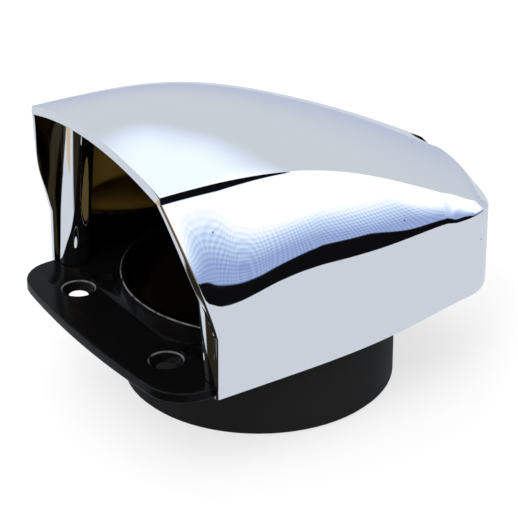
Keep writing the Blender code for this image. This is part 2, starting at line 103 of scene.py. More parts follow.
# Half widths and heights of the hood at its stations, from the mouth to the rear
STATIONS = (-0.0530, -0.0350, -0.0180, 0, 0.01495, 0.0299, 0.04225, 0.0520, 0.0650)
SPINE_HEIGHT = (0.0853, 0.0882, 0.0874, 0.0826, 0.0770, 0.0704, 0.0644, 0.0590, 0.0523)
CREASE_HEIGHT = (0.0803, 0.0800, 0.0784, 0.0747, 0.0691, 0.0620, 0.0560, 0.0509, 0.0441)
CREASE_HALF_WIDTH = (0.0342, 0.0339, 0.0337, 0.0336, 0.0335, 0.0332, 0.0326, 0.0320, 0.0315)
SKIRT_HALF_WIDTH = (0.0450, 0.0447, 0.0443, 0.0433, 0.0416, 0.0385, 0.0357)
REAR_CORNER_START = 0.0450
REAR_CORNER_HANDLE = 0.0027
REAR_BOW_HANDLE = 0.0348
FAN_START_Y = 0.0380
FAN_END_Y = 0.0490

# Posts, rear boss and its counterbored hole
POST_HALF_SPACING = 0.0393
POST_REACH = 0.0369
POST_DIAMETER = 0.0084
POST_TOP_DIAMETER = 0.0096
POST_LEAN = radians(7)
POST_HOLE = 0.0041
POST_HOLE_SPACING = 0.0384
POST_HOLE_TOP = 0.0375
REAR_SCREW_REACH = 0.0570
REAR_SCREW_HOLE = 0.0050
REAR_BOSS_DIAMETER = 0.0130
REAR_COUNTERBORE = 0.0090
REAR_COUNTERBORE_DEPTH = 0.0058

# Rounding of the hood's edges, as shares of the widest
EDGE_ROUND = 0.0009
EDGE_STEPS = 4
LEG_RIM_SHARE = 0.7
RIM_SHARE = 0.4
LIP_SHARE = 0.15
CREASE_SHARE = 0.11
SMOOTH_ANGLE = radians(32)

# How finely the hood is divided
SKIRT_ROWS = 6
CHEEK_ROWS = 28
SHOULDER_ROWS = 5
DOME_ROWS = 26
SIDE_COLUMNS = 72
FAN_COLUMNS = 30
ROUND_STEPS = 64
OUTLINE_STEPS = 120
MOUTH_PASSES = 6
HEIGHT_DEGREE = 6
WIDTH_DEGREE = 5
CREASE_ROW = SKIRT_ROWS + CHEEK_ROWS
DOME_ROW = CREASE_ROW + 1 + SHOULDER_ROWS
SPINE_ROW = DOME_ROW + DOME_ROWS
REAR_COLUMN = SIDE_COLUMNS + FAN_COLUMNS

# The surfaces of the hood's wall
OUTSIDE, MIDDLE, INSIDE = "outside", "middle", "inside"

# Noise of the finishes: scale and detail, then for grain its strength and, where it is fixed, its depth
PLATE_HAZE = (55.0, 4.0)
PLATE_WAVE = (70.0, 2.0, 1.0)
MOULDING_PATCHES = (45.0, 3.0)
MOULDING_GRAIN = (1800.0, 3.0, 0.25, 0.00004)
MOULDING_HIGHLIGHT_NOISE = (400.0, 2.0)
STEEL_GRAIN = (900.0, 3.0, 0.2, 0.00005)

# Plating. Here and below, a pair of numbers is where a fade starts and ends, or a low and a high value
PLATE_COLOUR = (0.93, 0.935, 0.95)
PLATE_ROUGHNESS = 0.02
PLATE_WAVE_DEPTH = 0.000004
PLATE_SPECK_SHARE = 0.04
INSIDE_COLOUR = (0.045, 0.032, 0.014)
# Painted reflection: a lighter, warm tint on the upper part of the hood's inside
CEILING_REFLECTION_TINT = (0.50, 0.42, 0.20)
INSIDE_ROUGHNESS = 0.12
INSIDE_WAVE_DEPTH = 0.00003
INSIDE_SPECK_SHARE = 0.02
HAZE_SPAN = (0.35, 0.75)
HAZE_ROUGHENING = 1.8
SPECK_SCALE = 210.0
SPECK_SPAN = (0.09, 0.05)
SPECK_CHOICE = 0.002
SPECK_DARKNESS = 0.25
CEILING_HEIGHT = (0.030, 0.040)
CEILING_FRONT = (-0.040, -0.028)
CEILING_BACK = (0.035, 0.020)

# Black moulding
MOULDING_COLOUR = (0.008, 0.0083, 0.009)
MOULDING_ROUGHNESS = 0.32
MOULDING_SPECULAR = 0.06
COLLAR_SKIN = (0.0363, 0.0368)
COLLAR_TOP = (0.0238, 0.0234)
DECK_ROUGHNESS = (0.14, 0.24)
COLLAR_ROUGHNESS = (0.55, 0.75)
DECK_TONES = ((0.0022, 0.0022, 0.0024), (0.0042, 0.0042, 0.0046))
COLLAR_TONES = ((0.0122, 0.0123, 0.0126), (0.0158, 0.0159, 0.0162))
# Painted highlight: a lighter tone on the moulding's sloping edges, in patches
EDGE_HIGHLIGHT_TONE = (0.16, 0.16, 0.165)
EDGE_HIGHLIGHT_START = (0.35, 0.55)
EDGE_HIGHLIGHT_END = (0.93, 0.82)
EDGE_HIGHLIGHT_PATCHES = (0.25, 0.6)
DECK_SCREW_HALF_SPACING = 0.0238
DECK_SCREW_REACH = 0.0442
COUNTERSINK_EDGE = (0.0044, 0.0047)

# Screw steel
STEEL_COLOUR = (0.56, 0.56, 0.55)
STEEL_TONES = ((0.50, 0.50, 0.49), (0.62, 0.62, 0.61))
STEEL_ROUGHNESS = 0.30
STEEL_POLISH = (0.22, 0.40)

# Studio
WHITE = (1, 1, 1)
BLACK = (0, 0, 0)
LAMP_SIZE = 0.9
LAMP_AIM = (0, 0, 0.04)
LAMPS = {"key": ((0.35, -0.75, 0.95), 9.0), "fill": ((-0.8, 0.2, 0.8), 4.0)}
SOFT_LIGHT = (0.72, 0.72, 0.72)

# Floor that the camera sees
FLOOR_RADIUS = 1.20
FLOOR_STEPS = 128
FLOOR_COLOUR = (0.8, 0.8, 0.8)
PAINT_ROUGHNESS = 0.9
FLOOR_PAINT = (0.33, 0.33, 0.33)
FLOOR_GLOW = (0.67, 0.67, 0.67)
FLOOR_FADE = (0.20, 0.40)
COLLAR_RING = (0.0358, 0.0372)
# Painted shade: inside the collar's ring the floor is dark and has no glow
COLLAR_SHADE_PAINT = (0.01, 0.01, 0.01)

# Table that only mirrors see, with its spans across X and Y. Each finish is a paint and its glow
TABLE_RADIUS = 0.41
TABLE_COLOUR = (0.33, 0.33, 0.34)
WOOD_SLOPE = 0.385
WOOD_FRONT = (-0.118, -0.126)
WOOD_LEFT = (-0.135, -0.115)
WOOD_RIGHT = (-0.020, -0.032)
SHADE_LEFT = (0.0, 0.012)
SHADE_FRONT = (-0.060, -0.072)
TABLE_FINISH = ((0.36, 0.375, 0.385), (0.41, 0.445, 0.505))
WOOD_FINISH = ((0.25, 0.19, 0.12), (0.46, 0.36, 0.24))
SHADE_FINISH = ((0.02, 0.015, 0.01), (0.01, 0.008, 0.004))
# Painted shade: inside the collar's ring the table is dark, with a dim warm glow
COLLAR_SHADE_FINISH = ((0.01, 0.007, 0.003), (0.08, 0.057, 0.02))

# Mirrored wall at the left and behind. Spans are degrees of height, or of turn from +X towards +Y
WALL_SPAN = (-12.0, 20.0)
WALL_LOW = (0.50, 0.55, 0.69)
WALL_HIGH = (0.61, 0.665, 0.71)
WALL_CORNER_TURN = (138.0, 168.0)
WALL_CORNER_LIFT = 9.0
WALL_EDGE_SPAN = (43.0, 51.0)
WALL_EDGE = (0.76, 0.84, 0.99)
SKY_SPAN = (48.0, 56.0)
SKY = (0.95, 1.05, 1.09)
WALL_TURN = (86.0, 104.0)
BEHIND_TURN = (-146.0, -160.0)

# Mirrored cloth at the right, over a dark gap above the table
THREAD_TURN = 0.8
THREAD_HEIGHT = 1.0
THREAD_DARK = (0.62, 0.66, 0.74)
THREAD_LIGHT = (1.05, 1.05, 1.03)
CLOTH_LIFTS = (((30.0, 60.0), 3.5), ((57.0, 63.0), 5.0))
CLOTH_SPAN = (4.5, 13.0)
CLOTH_LOW = (0.37, 0.47, 0.77)
CLOTH_HIGH = (0.80, 0.96, 1.18)
CLOTH_TOP = (10.0, 15.0)
ABOVE_CLOTH = (1.12, 1.12, 1.12)
DARK_RISE_TURN = (26.0, 40.0)
DARK_RISE = 1.3
DARK_DIP_START = (47.0, 58.0)
DARK_DIP_END = (95.0, 80.0)
DARK_DIP = 4.5
DARK_TOP = (0.6, 0.0)
DARK_START = (12.0, 22.0)
DARK_END = (92.0, 78.0)
DARK_COLOUR = (0.004, 0.004, 0.005)

# Mirrored dim room in front of the mouth
ROOM_SPAN = (2.0, 30.0)
ROOM_LOW = (0.20, 0.13, 0.05)
ROOM_HIGH = (0.02, 0.015, 0.01)
ROOM_PALE_TURN = (-118.0, -132.0)
ROOM_PALE = (0.60, 0.63, 0.68)
ROOM_TOP = (50.0, 60.0)
ROOM_START = (14.0, 2.0)
ROOM_END = (-160.0, -146.0)

spine_height = Polynomial.fit(STATIONS, SPINE_HEIGHT, HEIGHT_DEGREE)
crease_height = Polynomial.fit(STATIONS, CREASE_HEIGHT, HEIGHT_DEGREE)
crease_half_width = Polynomial.fit(STATIONS, CREASE_HALF_WIDTH, WIDTH_DEGREE)
side_half_width = Polynomial.fit(STATIONS[: len(SKIRT_HALF_WIDTH)], SKIRT_HALF_WIDTH, WIDTH_DEGREE)


def ease(share):
    """Rises smoothly from 0 to 1 as the share does, and stays level outside."""
    share = min(max(share, 0), 1)
    return share * share * (3 - 2 * share)


def hood_outline():
    """Points round the right half of the hood in plan, from the mouth to the rear centre."""
    side = np.linspace(STATIONS[0], REAR_CORNER_START, OUTLINE_STEPS)
    points = [Vector((side_half_width(y), y)) for y in side]
    start = points.pop()
    along = Vector((side_half_width.deriv()(REAR_CORNER_START), 1)).normalized()
    corner = start + along * REAR_CORNER_HANDLE
    bow = Vector((REAR_BOW_HANDLE, REAR_REACH))
    points += interpolate_bezier(start, corner, bow, Vector((0, REAR_REACH)), OUTLINE_STEPS)
    return np.array(points)


OUTLINE = hood_outline()
OUTLINE_LENGTH = np.concatenate([[0], np.cumsum(np.hypot(*np.diff(OUTLINE, axis=0).T))])


def half_width(y):
    return float(np.interp(y, OUTLINE[:, 1], OUTLINE[:, 0]))


def rear_outline(share):
    """The point this share of the way along the outline from FAN_START_Y to the rear centre."""
    start = np.interp(FAN_START_Y, OUTLINE[:, 1], OUTLINE_LENGTH)
    place = start + (OUTLINE_LENGTH[-1] - start) * share
    return Vector((np.interp(place, OUTLINE_LENGTH, OUTLINE[:, axis]) for axis in (0, 1)))


def dome_height(plan):
    """The height of the roof's even curve over a point of the plan."""
    edge = crease_height(plan.y)
    return edge + (spine_height(plan.y) - edge) * (1 - (plan.x / crease_half_width(plan.y)) ** 2)


def step_height(y):
    """The low step between dome and cheek, which dies out towards the rear."""
    share = (-STEP_END_REACH - y) / (STEP_START_REACH - STEP_END_REACH)
    return STEP_HEIGHT * min(max(share, 0), 1)


def skirt_top(y, share, skin):
    """Where the upright skirt ends and the cheek starts to curve in."""
    top = LEG_TOP + (SKIRT_TOP - LEG_TOP) * ease((y + LEG_REACH) / SKIRT_BLEND)
    if skin != INSIDE:
        settled = ease((share - CORNER_SHARE) / REAR_SETTLE_SHARE)
        top += REAR_SKIRT_RISE * ease(share / CORNER_SHARE) * (1 - settled)
    return top


def rear_fall(outer, reach, share):
    """How far the dome drops below its even curve near the rear edge, this share of the way round."""
    depth = (dome_height(outer) - REAR_EDGE_HEIGHT) * ease((share - REAR_FALL_START) / REAR_SETTLE_SHARE)
    return depth * (1 - ease(reach / REAR_FALL_REACH))


def section_point(outer, spine, band, share, row, skin):
    """A point of one hood section. Rows climb from the deck over skirt, cheek and dome to the spine.

    The share says how far round the rear the section stands, and is 0 all along the side.
    """
    inward = (spine - outer).normalized()
    crease = outer + inward * band

    def dome(reach):
        return dome_height(outer + inward * reach) - rear_fall(outer, reach, share)

    skirt = skirt_top(outer.y, share, skin)
    if row <= SKIRT_ROWS:
        return Vector((*outer, DECK_Z + (skirt - DECK_Z) * row / SKIRT_ROWS))
    step = step_height(crease.y) if skin == OUTSIDE else 0
    if row <= CREASE_ROW:
        top = dome(band) - step
        back = ease((crease.y + LEG_REACH) / CHEEK_BLEND)
        crisp = top - band / (MOUTH_CHEEK_LEAN + (SIDE_CHEEK_LEAN - MOUTH_CHEEK_LEAN) * back)
        even = ease(share / KNEE_EVEN_SHARE) * (INSIDE_REAR_KNEE if skin == INSIDE else 1)
        in_line = top - (dome(2 * band) - dome(band))
        knee = max(crisp + (in_line - crisp) * even, skirt + KNEE_CLEARANCE)
        rise = (row - SKIRT_ROWS) / CHEEK_ROWS
        height = (1 - rise) ** 2 * skirt + 2 * rise * (1 - rise) * knee + rise**2 * top
        return Vector((*(outer + inward * band * rise**2), height))
    step_width = max(STEP_LEAN * step, STEP_LEAST_WIDTH)
    shoulder_end = band + step_width + SHOULDER_WIDTH * (1 if skin == OUTSIDE else 2)
    if row > DOME_ROW:
        reach = shoulder_end + ((spine - outer).length - shoulder_end) * (row - DOME_ROW) / DOME_ROWS
        return Vector((*(outer + inward * reach), dome(reach)))
    start = band + step_width if skin == OUTSIDE else band
    first_row = CREASE_ROW + 1 if skin == OUTSIDE else CREASE_ROW
    climb = (row - first_row) / (DOME_ROW - first_row)
    reach = start + (shoulder_end - start) * climb
    return Vector((*(outer + inward * reach), dome(reach) - step * STEP_SHOULDER_SHARE * (1 - climb) ** 2))


def side_point(y, row, skin):
    """A point of the section that crosses the hood squarely at this place along it."""
    outer = Vector((half_width(y), y))
    return section_point(outer, Vector((0, y)), outer.x - crease_half_width(y), 0, row, skin)


@lru_cache(maxsize=None)
def mouth_y(row, skin):
    """Where this row ends: on the upright legs, the plane that leans forward or the bowed roof lip."""
    y = -LEG_REACH
    for _ in range(MOUTH_PASSES):
        rise = side_point(y, min(row, CREASE_ROW), skin).z - LEG_TOP
        y = -LEG_REACH - MOUTH_LEAN * max(rise, 0)
    if row > CREASE_ROW:
        y -= LIP_BOW * (1 - (side_point(y, row, skin).x / crease_half_width(y)) ** 2)
    return y


def mouth_flare(height, depth):
    """How far the cheek's edge turns out at this height and depth behind the mouth's rim."""
    rise = ease((height - FLARE_START) / FLARE_RISE)
    rise *= ease((FLARE_START + FLARE_RISE + FLARE_FALL - height) / FLARE_FALL)
    return MOUTH_FLARE * rise * max(1 - depth / FLARE_REACH, 0) ** 3


def hood_point(row, column, skin):
    """A point of the hood's grid. Columns run back along the side, then fan round the rear."""
    if column <= SIDE_COLUMNS:
        front = mouth_y(row, skin)
        depth = (FAN_START_Y - front) * column / SIDE_COLUMNS
        point = side_point(front + depth, row, skin)
        point.x += mouth_flare(point.z, depth) if row <= CREASE_ROW else 0
        return point
    share = (column - SIDE_COLUMNS) / FAN_COLUMNS
    side_band = half_width(FAN_START_Y) - crease_half_width(FAN_START_Y)
    if skin == INSIDE:
        band = side_band + (INSIDE_REAR_BAND - side_band) * ease(share)
    else:
        band = side_band + (REAR_BAND - side_band) * ease(share / CORNER_SHARE)
    spine = Vector((0, FAN_START_Y + (FAN_END_Y - FAN_START_Y) * share))
    return section_point(rear_outline(share), spine, band, share, row, skin)


def wall_thickness(row, column):
    """The wall thickens to a lip round the mouth, except on the upright legs."""
    point = hood_point(row, column, INSIDE)
    lip = ease((point.z - LEG_TOP) / LIP_FADE) * (1 - ease((point.y - mouth_y(row, INSIDE)) / LIP_FADE))
    return HOOD_WALL + (LIP_THICKNESS - HOOD_WALL) * lip


def deselect_all():
    bpy.ops.object.select_all(action="DESELECT")


def activate(obj):
    deselect_all()
    obj.select_set(True)
    bpy.context.view_layer.objects.active = obj


def in_edit_mode(obj, *steps):
    """Runs each operator on the whole mesh in edit mode."""
    activate(obj)
    bpy.ops.object.mode_set(mode="EDIT")
    bpy.ops.mesh.select_all(action="SELECT")
    for step, settings in steps:
        step(**settings)
    bpy.ops.object.mode_set(mode="OBJECT")


def apply_all(obj):
    activate(obj)
    for modifier in list(obj.modifiers):
        bpy.ops.object.modifier_apply(modifier=modifier.name)


def join(first, *others):
    activate(first)
    for other in others:
        other.select_set(True)
    bpy.ops.object.join()
    return first


def remove(*objects):
    for obj in objects:
        bpy.data.objects.remove(obj)


def add_mirror(obj):
    both = obj.modifiers.new("both sides", "MIRROR")
    both.merge_threshold = WELD


def add_boolean(obj, operation, *others):
    """Joins, cuts or trims the object with all the others at once."""
    group = bpy.data.collections.new(f"{obj.name} {operation.lower()}")
    bpy.context.scene.collection.children.link(group)
    for other in others:
        group.objects.link(other)
    change = obj.modifiers.new(operation.lower(), "BOOLEAN")
    change.operation = operation
    change.solver = "EXACT"
    change.operand_type = "COLLECTION"
    change.collection = group
    apply_all(obj)
    bpy.data.collections.remove(group)


def select_rims(obj):
    """Selects, for edit mode, the free edges of a half hood that don't lie along its middle."""
    mesh = obj.data
    uses = np.zeros(len(mesh.edges), int)
    for loop in mesh.loops:
        uses[loop.edge_index] += 1
    for item in (*mesh.vertices, *mesh.polygons):
        item.select = False
    for edge in mesh.edges:
        ends = [mesh.vertices[index] for index in edge.vertices]
        edge.select = bool(uses[edge.index] == 1 and max(abs(end.co.x) for end in ends) > WELD)
        if edge.select:
            for end in ends:
                end.select = True


def hood_skin(name, skin, sink):
    """A grid over the right half of the hood, this far below its surface, with edges marked to round."""
    bpy.ops.mesh.primitive_grid_add(x_subdivisions=SPINE_ROW, y_subdivisions=REAR_COLUMN, size=2)
    sheet = bpy.context.object
    sheet.name = name
    mesh = sheet.data
    places = []
    for vertex in mesh.vertices:
        row = round((vertex.co.x + 1) / 2 * SPINE_ROW)
        column = round((vertex.co.y + 1) / 2 * REAR_COLUMN)
        places.append((row, column))
        vertex.co = hood_point(row, column, skin)
    mesh.update()
    inward = [normal.vector.copy() for normal in mesh.vertex_normals]
    for vertex, place, normal in zip(mesh.vertices, places, inward):
        vertex.co += normal * sink(*place)
        if place[0] == SPINE_ROW or place[1] == REAR_COLUMN:
            vertex.co.x = 0
    weights = mesh.attributes.new("bevel_weight_edge", "FLOAT", "EDGE")
    for edge in mesh.edges:
        weights.data[edge.index].value = edge_share(*(places[index] for index in edge.vertices), skin)
    return sheet


def edge_share(start, end, skin):
    """How much of EDGE_ROUND rounds the edge between two places of the hood's grid."""
    rows = (start[0], end[0])
    columns = (start[1], end[1])
    if max(columns) == 0 and skin == OUTSIDE:
        return LEG_RIM_SHARE if max(rows) <= CREASE_ROW else LIP_SHARE
    if max(columns) == 0 or max(rows) == 0:
        return RIM_SHARE
    if skin == OUTSIDE and rows == (CREASE_ROW, CREASE_ROW):
        return CREASE_SHARE
    if skin == OUTSIDE and rows == (CREASE_ROW + 1, CREASE_ROW + 1):
        return CREASE_SHARE * step_height(hood_point(CREASE_ROW, max(columns), OUTSIDE).y) / STEP_HEIGHT
    return 0


def smooth(obj):
    """Smooth shading that keeps sharp edges sharp and flat faces flat."""
    activate(obj)
    bpy.ops.object.shade_smooth_by_angle(angle=SMOOTH_ANGLE)
    flats = obj.modifiers.new("flat faces stay flat", "WEIGHTED_NORMAL")
    flats.mode = "FACE_AREA_WITH_ANGLE"
    flats.keep_sharp = True
    apply_all(obj)


def build_shell():
    """The chrome outside and the duller inside of the hood, joined round their rims."""
    outer = hood_skin("cast_hood_plated", OUTSIDE, lambda row, column: 0)
    in_edit_mode(outer, (bpy.ops.mesh.flip_normals, {}))
    outer.data.materials.append(CHROME)
    inner = hood_skin("hood_inside", INSIDE, wall_thickness)
    inner.data.materials.append(INSIDE_CHROME)
    shell = join(outer, inner)
    select_rims(shell)
    activate(shell)
    bpy.ops.object.mode_set(mode="EDIT")
    bpy.ops.mesh.bridge_edge_loops()
    bpy.ops.mesh.select_all(action="SELECT")
    bpy.ops.mesh.normals_make_consistent(inside=False)
    bpy.ops.object.mode_set(mode="OBJECT")
    add_mirror(shell)
    rounded = shell.modifiers.new("rounded edges", "BEVEL")
    rounded.width = EDGE_ROUND
    rounded.segments = EDGE_STEPS
    rounded.limit_method = "WEIGHT"
    rounded.use_clamp_overlap = False
    apply_all(shell)
    return shell


def build_core():
    """A solid out to the middle of the hood's wall, which trims the posts and the rear boss."""
    core = hood_skin("hood_core", MIDDLE, lambda row, column: HOOD_WALL / 2)
    select_rims(core)
    activate(core)
    bpy.ops.object.mode_set(mode="EDIT")
    bpy.ops.mesh.extrude_region_move()
    bpy.ops.transform.resize(value=(0, 1, 1), center_override=(0, 0, 0))
    bpy.ops.mesh.select_all(action="SELECT")
    bpy.ops.mesh.remove_doubles(threshold=WELD)
    bpy.ops.mesh.normals_make_consistent(inside=False)
    bpy.ops.object.mode_set(mode="OBJECT")
    add_mirror(core)
    apply_all(core)
    return core


def add_cylinder(name, diameter, bottom, top, x, y, top_diameter=None):
    """A round bar, or a taper if its top has a diameter of its own, upright at x and y."""
    bpy.ops.mesh.primitive_cone_add(
        vertices=ROUND_STEPS,
        radius1=diameter / 2,
        radius2=(top_diameter or diameter) / 2,
        depth=top - bottom,
        location=(0, 0, (top + bottom) / 2),
    )
    obj = bpy.context.object
    obj.name = name
    bpy.ops.object.transform_apply(location=True, rotation=True, scale=True)
    obj.data.transform(Matrix.Translation((x, y, 0)) @ Matrix.Rotation(pi / ROUND_STEPS, 4, "Z"))
    return obj


def build_posts(core):
    """Two posts inside the mouth that lean in with the cheeks."""
    foot = FLANGE_TOP + GAP
    posts = add_cylinder("posts", POST_DIAMETER, foot, max(SPINE_HEIGHT), 0, 0, POST_TOP_DIAMETER)
    lean = Matrix.Identity(4)
    lean[0][2] = -tan(POST_LEAN)
    lean[0][3] = tan(POST_LEAN) * foot
    posts.data.transform(Matrix.Translation((POST_HALF_SPACING, -POST_REACH, 0)) @ lean)
    posts.data.materials.append(CHROME)
    posts.data.materials.append(INSIDE_CHROME)
    add_mirror(posts)
    add_boolean(posts, "INTERSECT", core)
    return posts


def build_boss(core):
    """The boss behind the roof that takes the rear screw."""
    foot = FLANGE_TOP + GAP
    boss = add_cylinder("rear_boss", REAR_BOSS_DIAMETER, foot, max(SPINE_HEIGHT), 0, REAR_SCREW_REACH)
    boss.data.materials.append(CHROME)
    add_boolean(boss, "INTERSECT", core)
    return boss


def build_bores():
    """What the posts' blind holes, the rear counterbore and the rear screw hole take away."""
    foot = FLANGE_TOP - OVERCUT
    holes = add_cylinder("post_holes", POST_HOLE, foot, POST_HOLE_TOP, POST_HOLE_SPACING, -POST_REACH)
    add_mirror(holes)
    apply_all(holes)
    seat = spine_height(REAR_SCREW_REACH) - REAR_COUNTERBORE_DEPTH
    bore = add_cylinder("rear_counterbore", REAR_COUNTERBORE, seat, max(SPINE_HEIGHT), 0, REAR_SCREW_REACH)
    hole = add_cylinder("rear_screw_hole", REAR_SCREW_HOLE, DECK_Z, seat + OVERCUT, 0, REAR_SCREW_REACH)
    for cutter in (holes, bore, hole):
        cutter.data.materials.append(INSIDE_CHROME)
    return holes, bore, hole


def build_hood():
    """The cast hood in one piece: its shell with the posts and the boss grown on and bored."""
    shell = build_shell()
    core = build_core()
    posts = build_posts(core)
    boss = build_boss(core)
    add_boolean(shell, "UNION", posts, boss)
    bores = build_bores()
    add_boolean(shell, "DIFFERENCE", *bores)
    remove(core, posts, boss, *bores)
    shell.data.transform(Matrix.Translation((0, -PART_CENTRE_Y, 0)))
    smooth(shell)
    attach(shell, "root")
    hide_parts("cast_hood")


def refine_node(node, name, made):
    """A merged, smoothly shaded copy of a CAD node that stands for it."""
    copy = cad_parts[node].copy()
    copy.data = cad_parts[node].data.copy()
    copy.name = name
    bpy.context.scene.collection.objects.link(copy)
    in_edit_mode(copy, (bpy.ops.mesh.remove_doubles, {"threshold": WELD}))
    smooth(copy)
    copy.data.materials.clear()
    copy.data.materials.append(made)
    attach(copy, "root")
    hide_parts(node)


def add_node(tree, kind, settings=None, **inputs):
    """A node with these settings, whose named inputs take a value or another node's output.

    An input named i and a number is the one at that place, for nodes that repeat a name.
    """
    node = tree.nodes.new(kind)
    for name, value in (settings or {}).items():
        setattr(node, name, value)
    for name, value in inputs.items():
        numbered = name[0] == "i" and name[1:].isdigit()
        socket = node.inputs[int(name[1:]) if numbered else name]
        if isinstance(value, bpy.types.NodeSocket):
            tree.links.new(value, socket)
        else:
            socket.default_value = value
    return node


def calculate(tree, operation, *values):
    """The output of one step of arithmetic on numbers or other nodes' outputs."""
    inputs = {f"i{index}": value for index, value in enumerate(values)}
    return add_node(tree, "ShaderNodeMath", {"operation": operation}, **inputs).outputs[0]


def multiply(tree, first, *others):
    for other in others:
        first = calculate(tree, "MULTIPLY", first, other)
    return first


def fade(tree, value, start, end):
    """0 where the value is at start and 1 where it is at end, smoothly between."""
    settings = {"interpolation_type": "SMOOTHSTEP"}
    inputs = {"Value": value, "From Min": start, "From Max": end}
    return add_node(tree, "ShaderNodeMapRange", settings, **inputs).outputs["Result"]


def between(tree, value, low, high):
    """Low where the value is 0 and high where it is 1, evenly between."""
    inputs = {"Value": value, "To Min": low, "To Max": high}
    return add_node(tree, "ShaderNodeMapRange", **inputs).outputs["Result"]


def mix_colours(tree, factor, first, second, blend="MIX"):
    """A mix of two colours, each a node's output or its red, green and blue."""
    settings = {"data_type": "RGBA", "blend_type": blend}
    inputs = {"i0": factor}
    for name, value in (("i6", first), ("i7", second)):
        inputs[name] = value if isinstance(value, bpy.types.NodeSocket) else (*value, 1)
    return add_node(tree, "ShaderNodeMix", settings, **inputs).outputs[2]


def noise(tree, place, scale, detail):
    return add_node(tree, "ShaderNodeTexNoise", Vector=place, Scale=scale, Detail=detail).outputs[0]


def split(tree, vector):
    return add_node(tree, "ShaderNodeSeparateXYZ", Vector=vector).outputs


def object_place(tree):
    return add_node(tree, "ShaderNodeTexCoord").outputs["Object"]


def distance_from(tree, x, y, place):
    """The distance in plan of a point at x and y from a fixed place."""
    plan = add_node(tree, "ShaderNodeCombineXYZ", X=x, Y=y).outputs[0]
    settings = {"operation": "DISTANCE"}
    return add_node(tree, "ShaderNodeVectorMath", settings, i0=plan, i1=(*place, 0)).outputs["Value"]


def new_group(name, inputs, outputs):
    """A shader node group with these sockets, and its own sockets to link them by."""
    group = bpy.data.node_groups.new(name, "ShaderNodeTree")
    for way, sockets in (("INPUT", inputs), ("OUTPUT", outputs)):
        for socket, kind in sockets.items():
            group.interface.new_socket(socket, in_out=way, socket_type=f"NodeSocket{kind}")
    return group, group.nodes.new("NodeGroupInput").outputs, group.nodes.new("NodeGroupOutput").inputs


def grain_group():
    """Fine unevenness: a value that changes over the surface, and the normal that it tilts."""
    inputs = {"Place": "Vector", "Scale": "Float", "Detail": "Float", "Strength": "Float", "Depth": "Float"}
    group, given, result = new_group("grain", inputs, {"Value": "Float", "Normal": "Vector"})
    value = noise(group, given["Place"], given["Scale"], given["Detail"])
    bump = {"Strength": given["Strength"], "Distance": given["Depth"], "Height": value}
    group.links.new(value, result["Value"])
    group.links.new(add_node(group, "ShaderNodeBump", **bump).outputs["Normal"], result["Normal"])
    return group


def ring_group():
    """0 within one distance from the collar's axis and 1 beyond another, or the other way round."""
    inputs = {"Place": "Vector", "Start": "Float", "End": "Float"}
    group, given, result = new_group("collar_ring", inputs, {"Mask": "Float"})
    parts = split(group, given["Place"])
    from_axis = distance_from(group, parts["X"], parts["Y"], (0, -PART_CENTRE_Y))
    group.links.new(fade(group, from_axis, given["Start"], given["End"]), result["Mask"])
    return group


def add_grain(tree, shader, place, scale, detail, strength, depth):
    """Tilts a shader's normal with grain, and gives the grain's value."""
    inputs = {"Place": place, "Scale": scale, "Detail": detail, "Strength": strength, "Depth": depth}
    grain = add_node(tree, "ShaderNodeGroup", {"node_tree": GRAIN}, **inputs)
    tree.links.new(grain.outputs["Normal"], shader.inputs["Normal"])
    return grain.outputs["Value"]


def collar_ring(tree, place, start, end):
    inputs = {"Place": place, "Start": start, "End": end}
    return add_node(tree, "ShaderNodeGroup", {"node_tree": RING}, **inputs).outputs["Mask"]


def new_material(name, colour, roughness, metallic, specular=0.5):
    made = bpy.data.materials.new(name)
    made.use_nodes = True
    shader = made.node_tree.nodes["Principled BSDF"]
    shader.inputs["Base Color"].default_value = (*colour, 1)
    shader.inputs["Roughness"].default_value = roughness
    shader.inputs["Metallic"].default_value = metallic
    shader.inputs["Specular IOR Level"].default_value = specular
    return made, made.node_tree, shader


def speck_mask(tree, place, share):
    """Small pits in this share of the cells that the surface is divided into."""
    pits = add_node(tree, "ShaderNodeTexVoronoi", Vector=place, Scale=SPECK_SCALE).outputs
    lot = add_node(tree, "ShaderNodeSeparateColor", Color=pits["Color"]).outputs[0]
    chosen = fade(tree, lot, 1 - share, 1 - share + SPECK_CHOICE)
    return multiply(tree, chosen, fade(tree, pits["Distance"], *SPECK_SPAN))


def ceiling_reflection_mask(tree, place):
    """The upper part of the hood's inside, away from the mouth and from the rear wall, where a painted
    reflection lightens and warms the plating.
    """
    parts = split(tree, place)
    high = fade(tree, parts["Z"], *CEILING_HEIGHT)
    front = fade(tree, parts["Y"], *CEILING_FRONT)
    return multiply(tree, high, front, fade(tree, parts["Y"], *CEILING_BACK))


def plated_chrome(name, colour, roughness, wave_depth, speck_share, reflection_tint=None):
    """Mirror plating over a casting: faintly wavy, with small pits and hazy patches, and where a tint is
    given, a painted reflection on the upper inside.
    """
    made, tree, shader = new_material(name, colour, roughness, 1.0)
    place = object_place(tree)
    haze = fade(tree, noise(tree, place, *PLATE_HAZE), *HAZE_SPAN)
    rough = between(tree, haze, roughness, roughness * HAZE_ROUGHENING)
    tree.links.new(rough, shader.inputs["Roughness"])
    dark = tuple(value * SPECK_DARKNESS for value in colour)
    tone = colour
    # Painted reflection: the upper inside is tinted lighter and warm
    if reflection_tint:
        tone = mix_colours(tree, ceiling_reflection_mask(tree, place), colour, reflection_tint)
    tone = mix_colours(tree, speck_mask(tree, place, speck_share), tone, dark)
    tree.links.new(tone, shader.inputs["Base Color"])
    add_grain(tree, shader, place, *PLATE_WAVE, wave_depth)
    return made


